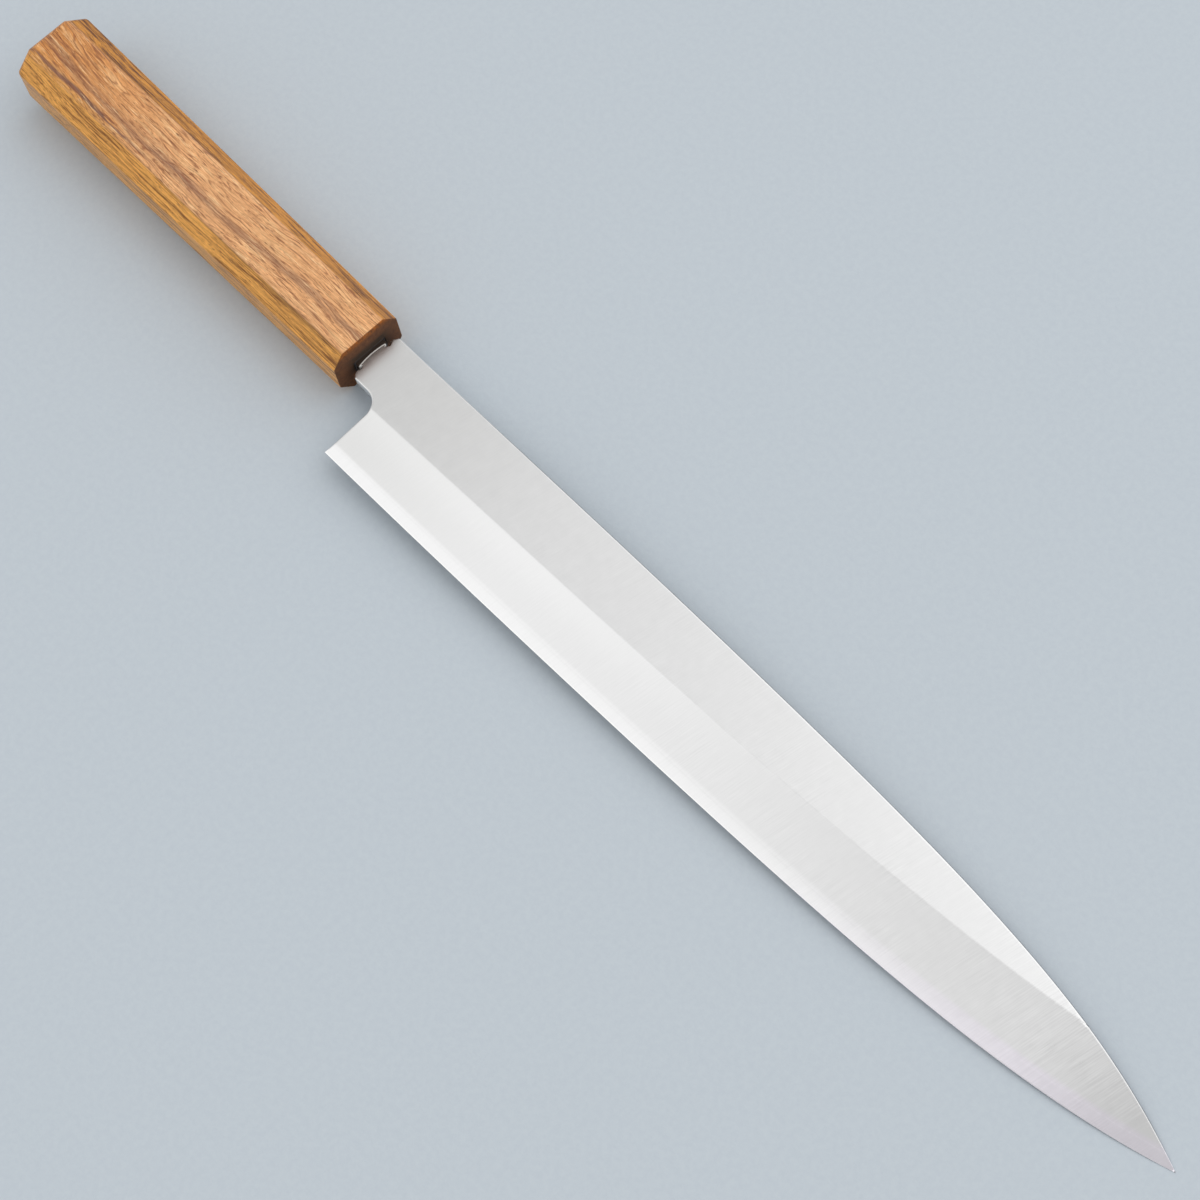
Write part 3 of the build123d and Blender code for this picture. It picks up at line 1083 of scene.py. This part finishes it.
def make_steel(name, is_hard):
    """Both steels share one finish, which turns from one into the other beside the weld."""
    material, shader, (x, y, z) = start_material(name)
    # The rims are polished, so less rough, and their colour is lightened as a painted highlight.
    rim = attribute(x, "from_rim").between(0.34, 0.2) * (x - shoulder_x).between(0, 0.6)
    rim = rim * x.between(224, 210)
    # Past the neck the rims away from the edge are darkened instead: a painted dark reflection.
    spine_rim_dark_reflection = attribute(x, "from_edge").between(0.6, 1.5) * x.between(-64, -20)
    hairs = joined((x - y * 0.2) * 2.6, y * 0.1, z * 0.1).noise(2.0, 0.5, 1.0) - 0.5
    patch = joined(x * 0.03, y * 0.09, 0.0).noise(2.0, 0.5, 6.0)
    cloud = joined(x * 0.35, y * 0.35, z * 0.35).noise(4.0, 0.6, 3.0) - 0.5
    at_tip = x.between(150, 186) * attribute(x, "from_edge").between(2, 9)
    hair_share = patch.between(0.4, 0.6) * x.between(-20, 70) * 0.3 + at_tip * 0.6 + 0.2

    tint = x.between(100, 190).blend(hard_grey, hard_tip_grey)
    if not is_hard:
        over_axis = weld_z(face_x) - axis_z - (x - face_x) * weld_fall
        plain = x.between(face_x, 0).blend(neck_grey, soft_grey)
        tint = (z - over_axis).between(0.22, 0.0).blend(plain, tint)
    hollow = attribute(x, "hollow").between(0.0, 0.12)
    up_bevel = attribute(x, "up_bevel")
    # The upper part of the bevel and a line along the ridge are lightened: painted highlights.
    upper_bevel_highlight = up_bevel.between(0.4, 0.96) * up_bevel.between(1.02, 0.99) * x.between(110, 10)
    ridge_highlight = abs(up_bevel - 1).between(0.035, 0) * x.between(10, 50)
    tone = hairs * hair_share * 0.9 + cloud * 0.16 + upper_bevel_highlight * 0.14 + 0.5
    tone = tone + ridge_highlight * x.between(130, 100) * 0.12 - x.between(174, 216) * 0.5
    tone = tone - hollow * 0.3 + hollow * hairs * 0.5
    tint = tone.clamped().blend((0.8, 0.8, 0.8, 1), (1.2, 1.2, 1.2, 1)).multiply(tint)
    rim_highlight_tint = x.between(60, 150).blend(colour(244, 244, 243), colour(226, 222, 229))
    spine_dark_reflection_tint = x.between(60, 170).blend(colour(160, 162, 164), colour(150, 152, 156))
    rim_highlight_tint = spine_rim_dark_reflection.blend(rim_highlight_tint, spine_dark_reflection_tint)
    tint = (rim * 0.9).blend(tint, rim_highlight_tint)
    # The resin film's dark is partly painted shade, and its pale edge is a painted highlight.
    film, film_edge_highlight = film_shade_and_highlight_masks(x, y)
    tint = film.blend(tint, colour(58, 47, 40))
    tint = film_edge_highlight.blend(tint, colour(232, 228, 222))
    feed(shader, "Base Color", tint)
    feed(shader, "Metallic", 1 - film.or_larger(film_edge_highlight))
    roughness = cloud * 0.08 + hairs * hair_share * 0.1 + 0.3 - rim * 0.12 + hollow * 0.1
    feed(shader, "Roughness", roughness)
    feed(shader, "Normal", bump(hairs * hair_share, 0.007))
    return material


body_steel.data.materials.append(make_steel("soft steel", False))
cutting_steel.data.materials.append(make_steel("hard steel", True))
print("The soft steel has", len(body_steel.active_material.node_tree.nodes), "nodes")

# %% [markdown]
# Resin
#
# Resin with soot in it, nearly black, with a satin skin. A fine grain keeps it from looking like
# one flat colour, and lifts its skin a little.

# %% Resin
dark_resin, shader, (x, y, z) = start_material("dark resin")
soot = joined(x * 2.2, y * 2.2, z * 2.2).noise(3.0, 0.6, 1.0)
feed(shader, "Base Color", soot.blend(colour(34, 26, 22), colour(64, 50, 42)))
feed(shader, "Roughness", soot * 0.2 + 0.35)
feed(shader, "Normal", bump(soot, 0.06))
resin.data.materials.append(dark_resin)
print("The resin has", len(dark_resin.node_tree.nodes), "nodes")

# %% [markdown]
# Floor, light and camera
#
# The knife lies on its handle and its tip, so the floor touches both, and leans by a degree or so
# against the knife's own axes.

# %% The floor
rest_rise = math.atan2(back_z - (axis_z - front_thickness / 2), tip_x - face_x)
floor_mesh = bmesh.new()
bmesh.ops.create_grid(floor_mesh, x_segments=1, y_segments=1, size=10)
lean = Matrix.Rotation(-rest_rise, 4, "Y")
contact = Vector((face_x, axis_y, axis_z - front_thickness / 2)) * mm
bmesh.ops.transform(floor_mesh, matrix=Matrix.Translation(contact) @ lean, verts=floor_mesh.verts)
floor = bpy.data.objects.new("floor", bpy.data.meshes.new("floor"))
floor_mesh.to_mesh(floor.data)
link(floor)

paper, shader, (x, y, z) = start_material("floor")
speck = joined(x * 0.55, y * 0.55, 0.0).noise(3.0, 0.7, 1.0)
floor_tint = speck.between(0.3, 0.7).blend(colour(195, 204, 212), colour(199, 208, 215))
feed(shader, "Base Color", floor_tint)
feed(shader, "Roughness", 0.7)
feed(shader, "Specular IOR Level", 0.2)
feed(shader, "Normal", bump(speck, 0.05))
floor.data.materials.append(paper)
print("The floor leans by", round(math.degrees(rest_rise), 2), "degrees")

# %% [markdown]
# Steel shows what stands round it, so the light is a plain pale room, for an even grey, and two
# large softboxes. Small lamps would leave hard spots on the flats and hard shadows on the floor.

# %% The light
room_strength = 0.71
lamp_distance = 5.0
world = bpy.data.worlds.new("room")
world.use_nodes = True
room = world.node_tree.nodes["Background"].inputs
room["Color"].default_value = (1, 1, 1, 1)
room["Strength"].default_value = room_strength
bpy.context.scene.world = world


def softbox(name, towards, size, brightness):
    """A square lamp that shines on the knife from a direction; brightness is what a mirror shows."""
    lamp = bpy.data.lights.new(name, "AREA")
    lamp.shape = "SQUARE"
    lamp.size = size
    lamp.energy = brightness * math.pi * size * size
    direction = Vector((*towards, math.sqrt(1 - towards[0] ** 2 - towards[1] ** 2)))
    box = bpy.data.objects.new(name, lamp)
    box.location = direction * lamp_distance
    box.rotation_euler = direction.to_track_quat("Z", "Y").to_euler()
    link(box)


softbox("softbox by the heel", (-0.369, -0.328), 3.34, 0.42)
softbox("softbox by the spine", (0.226, 0.607), 6.12, 0.74)
print("Two softboxes stand", lamp_distance, "m from the knife")

# %% [markdown]
# The camera looks down on the knife from the side of its edge. Its lens is long, because a wide one
# would swell the end that is nearer.

# %% The camera
azimuth, elevation, roll = (math.radians(angle) for angle in (60.53, 66.202, -14.494))
target = Vector((face_x + 99.5, axis_y - 5.03, axis_z)) * mm
distance = 0.7891
back = Vector((
    math.sin(azimuth) * math.cos(elevation),
    -math.cos(azimuth) * math.cos(elevation),
    math.sin(elevation),
))
lens = bpy.data.cameras.new("camera")
lens.sensor_width, lens.lens = 36, 90
camera = bpy.data.objects.new("camera", lens)
camera.location = target + back * distance
turn = back.to_track_quat("Z", "Y").to_matrix().to_4x4() @ Matrix.Rotation(roll, 4, "Z")
camera.rotation_euler = turn.to_euler()
link(camera)
bpy.context.scene.camera = camera
bpy.context.scene.view_settings.view_transform = "Standard"
print("The camera stands at", [round(value, 3) for value in camera.location])
